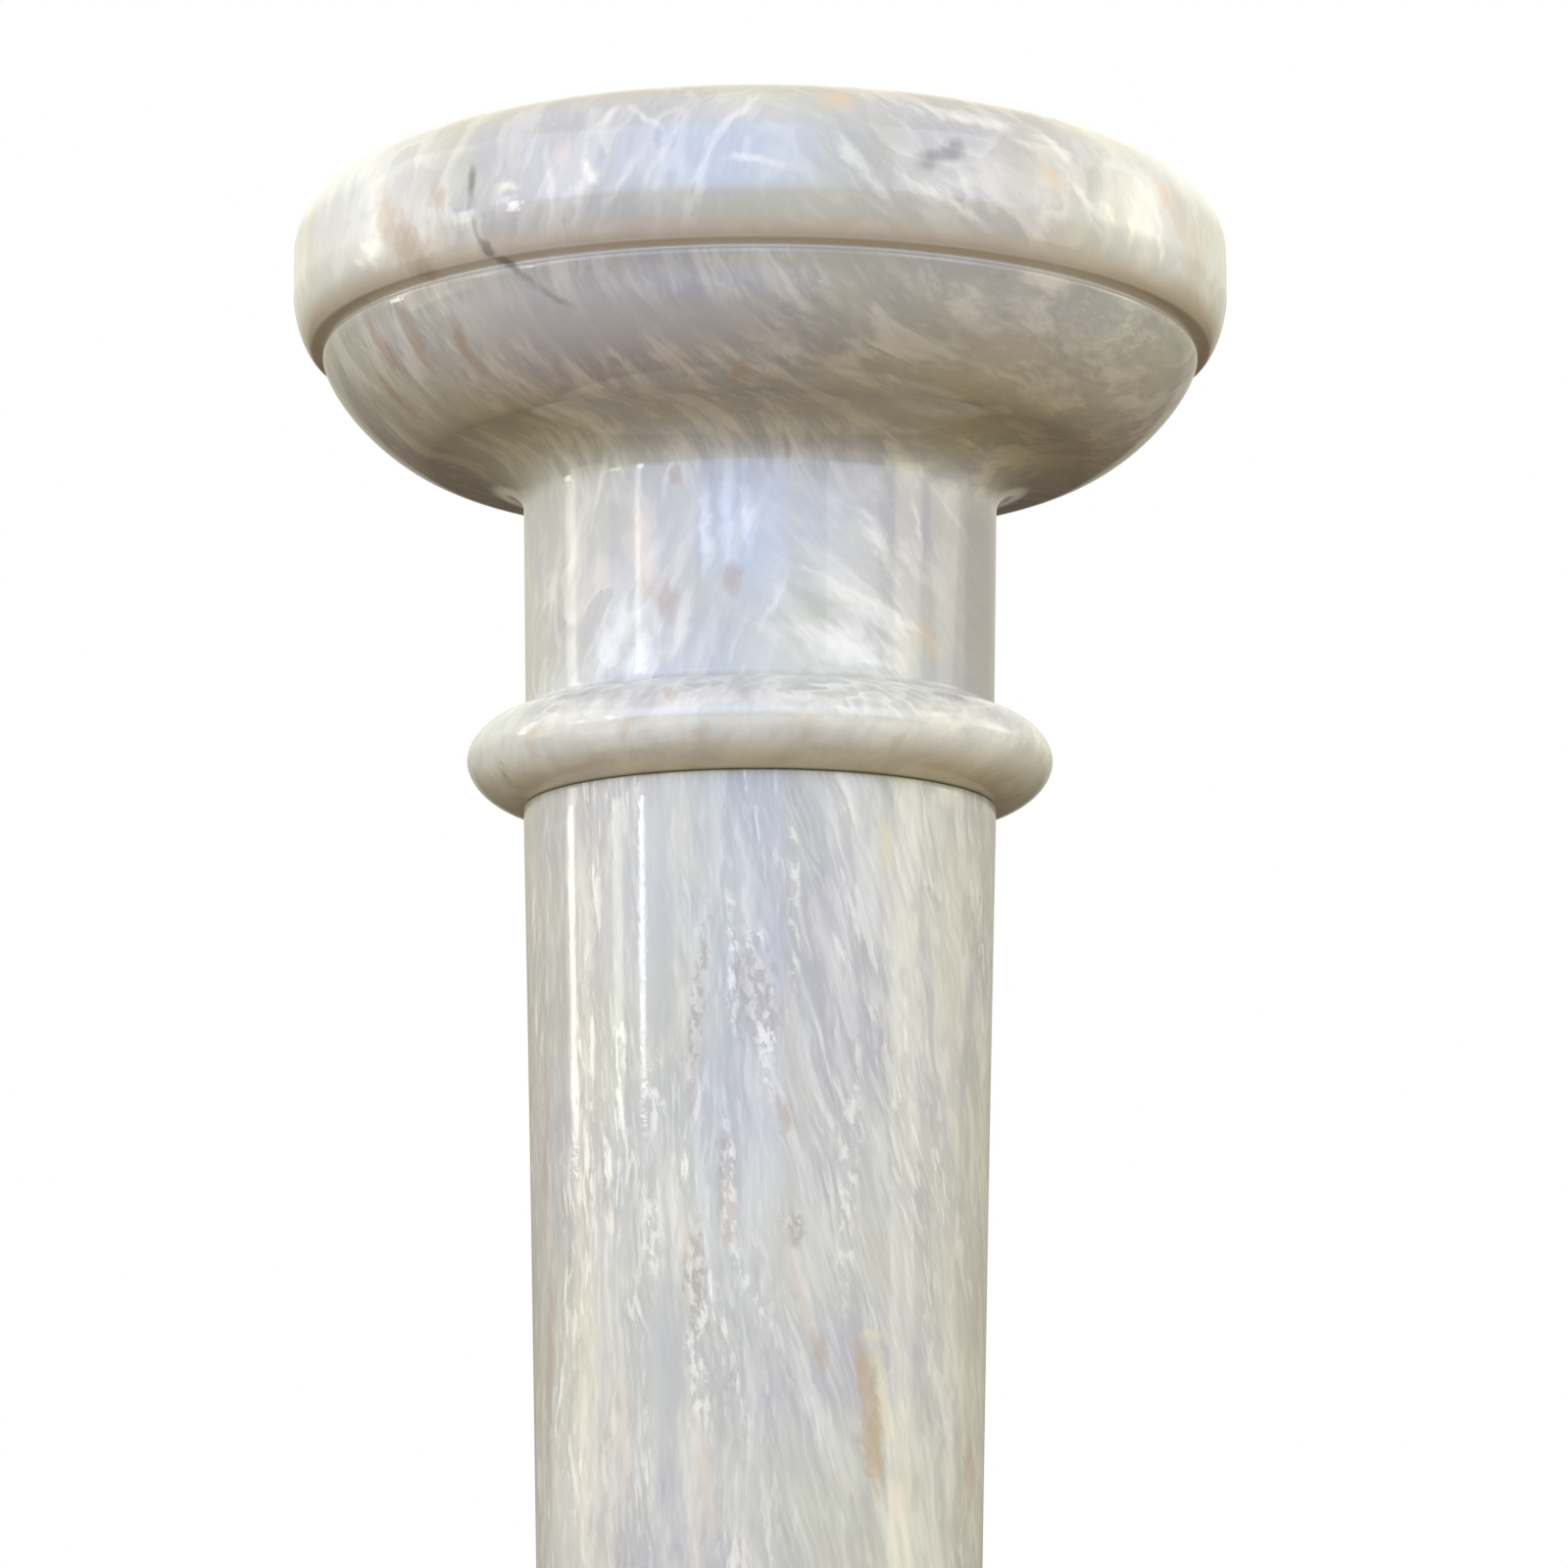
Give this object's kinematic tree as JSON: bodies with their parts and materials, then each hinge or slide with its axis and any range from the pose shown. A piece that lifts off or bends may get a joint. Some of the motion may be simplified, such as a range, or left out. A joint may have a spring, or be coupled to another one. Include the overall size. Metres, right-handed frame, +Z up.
{
  "type": "onyx column",
  "caption": "Turned onyx pedestal column with a round flat top over a bulged underside, a ringed neck, a tapering polished shaft and a plain round base.",
  "frame": {"origin": "centre of the base's underside, on the floor", "axes": "+Z up along the column's axis, from the base to the top"},
  "size_m": [0.276, 0.276, 0.9986],
  "materials": {
    "base_onyx": "polished, grey and cream with white veins",
    "shaft_onyx": "polished, lavender grey with long white veins and rust spots",
    "capital_onyx": "polished, grey with wispy white and cream veins"
  },
  "bodies": {
    "root": {"base": "base_onyx", "shaft": "shaft_onyx", "capital": "capital_onyx"}
  },
  "joints": []
}
